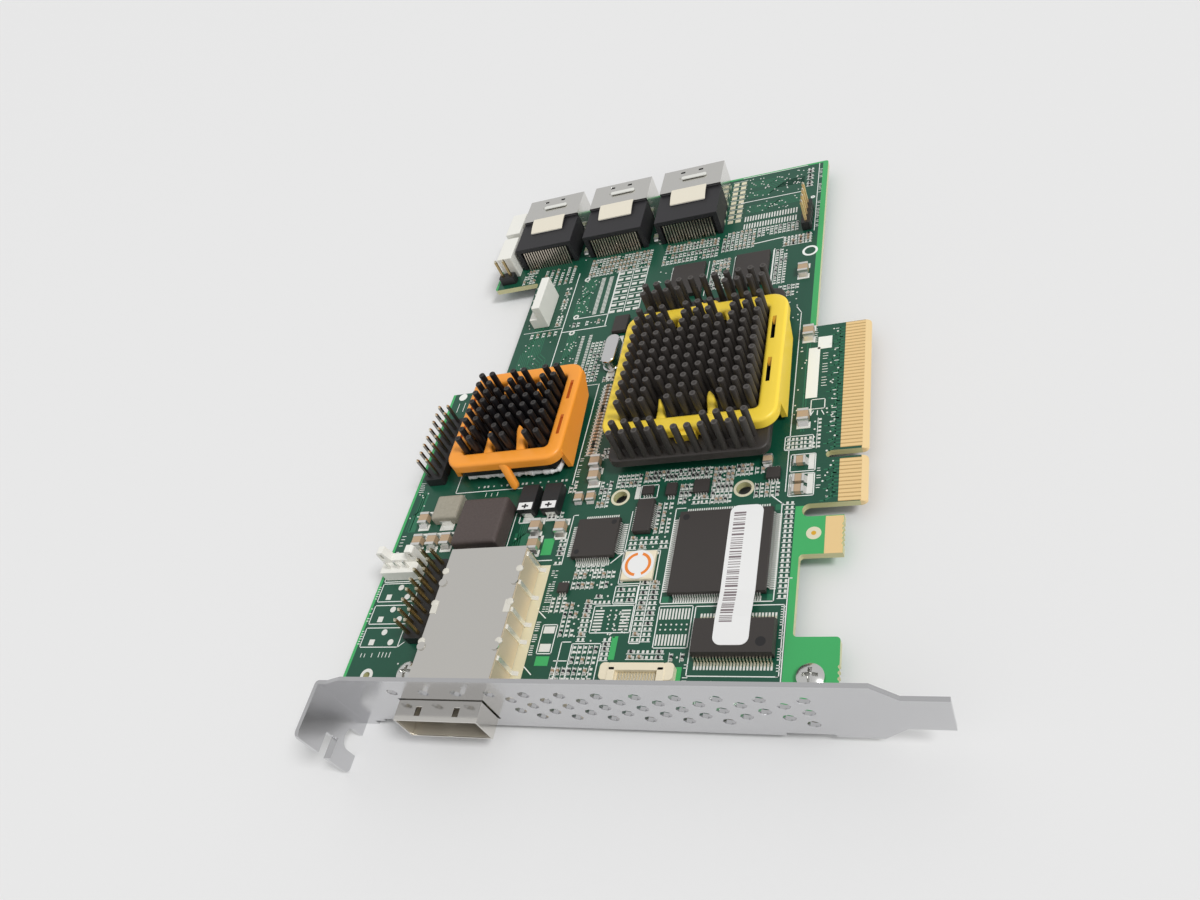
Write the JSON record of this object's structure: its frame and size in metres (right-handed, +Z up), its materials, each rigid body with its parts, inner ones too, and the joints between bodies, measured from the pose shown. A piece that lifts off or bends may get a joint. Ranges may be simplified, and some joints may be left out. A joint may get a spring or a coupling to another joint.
{
  "type": "raid controller card",
  "caption": "Expansion card with an edge connector, a perforated slot bracket, clipped pin heatsinks, an external cable port and shelled internal ports.",
  "frame": {"origin": "on the component face, where the board's left edge line meets the bracket's inner face", "axes": "+X along the bracket towards the edge connector, +Y from the bracket into the case, +Z up from the component face"},
  "size_m": [0.1259, 0.1787, 0.02],
  "materials": {
    "board_green": "satin",
    "bracket_steel": "satin",
    "screw_steel": "polished",
    "cage_steel": "satin",
    "shell_steel": "satin",
    "black_moulding": "matte",
    "tin_leads": "polished",
    "brass_posts": "polished",
    "black_anodised": "matte",
    "yellow_clip": "satin",
    "orange_clip": "satin",
    "chip_ceramic": "matte",
    "chip_black": "matte",
    "inductor_grey": "matte",
    "tantalum_black": "satin",
    "capacitor_tan": "satin",
    "lamp_white": "satin",
    "crystal_steel": "satin",
    "label_paper": "matte",
    "header_black": "satin",
    "connector_white": "satin",
    "socket_cream": "satin"
  },
  "bodies": {
    "root": {"big_chip": "chip_ceramic", "big_clip": "yellow_clip", "big_flat_pack": "chip_black", "big_heatsink": "black_anodised", "big_inductor": "inductor_grey", "board": "board_green", "bracket": "bracket_steel", "bracket_screws": "screw_steel", "cable_socket": "socket_cream", "ceramic_capacitors": "capacitor_tan", "crystal_can": "crystal_steel", "edge_header_base": "header_black", "edge_header_posts": "brass_posts", "external_cage": "cage_steel", "external_core": "black_moulding", "jumper_header_base": "header_black", "jumper_header_posts": "brass_posts", "labelled_chip": "chip_black", "left_header_base": "header_black", "left_header_posts": "tin_leads", "lock_connector_1": "connector_white", "lock_connector_2": "connector_white", "lock_connector_3": "connector_white", "lock_connector_4": "connector_white", "lock_posts": "tin_leads", "long_label": "label_paper", "memory_chip_1": "chip_black", "memory_chip_2": "chip_black", "narrow_pack": "chip_black", "near_header_base": "header_black", "near_header_posts": "brass_posts", "outline_pack": "chip_black", "port_body_1": "black_moulding", "port_body_2": "black_moulding", "port_body_3": "black_moulding", "port_contacts_1": "tin_leads", "port_contacts_2": "tin_leads", "port_contacts_3": "tin_leads", "port_shell_1": "shell_steel", "port_shell_2": "shell_steel", "port_shell_3": "shell_steel", "round_label": "label_paper", "small_chip": "chip_ceramic", "small_clip": "orange_clip", "small_flat_pack": "chip_black", "small_heatsink": "black_anodised", "small_inductor": "inductor_grey", "small_regulators": "chip_black", "solder_tails": "tin_leads", "status_lights": "lamp_white", "tantalum_capacitors": "tantalum_black"}
  },
  "joints": []
}
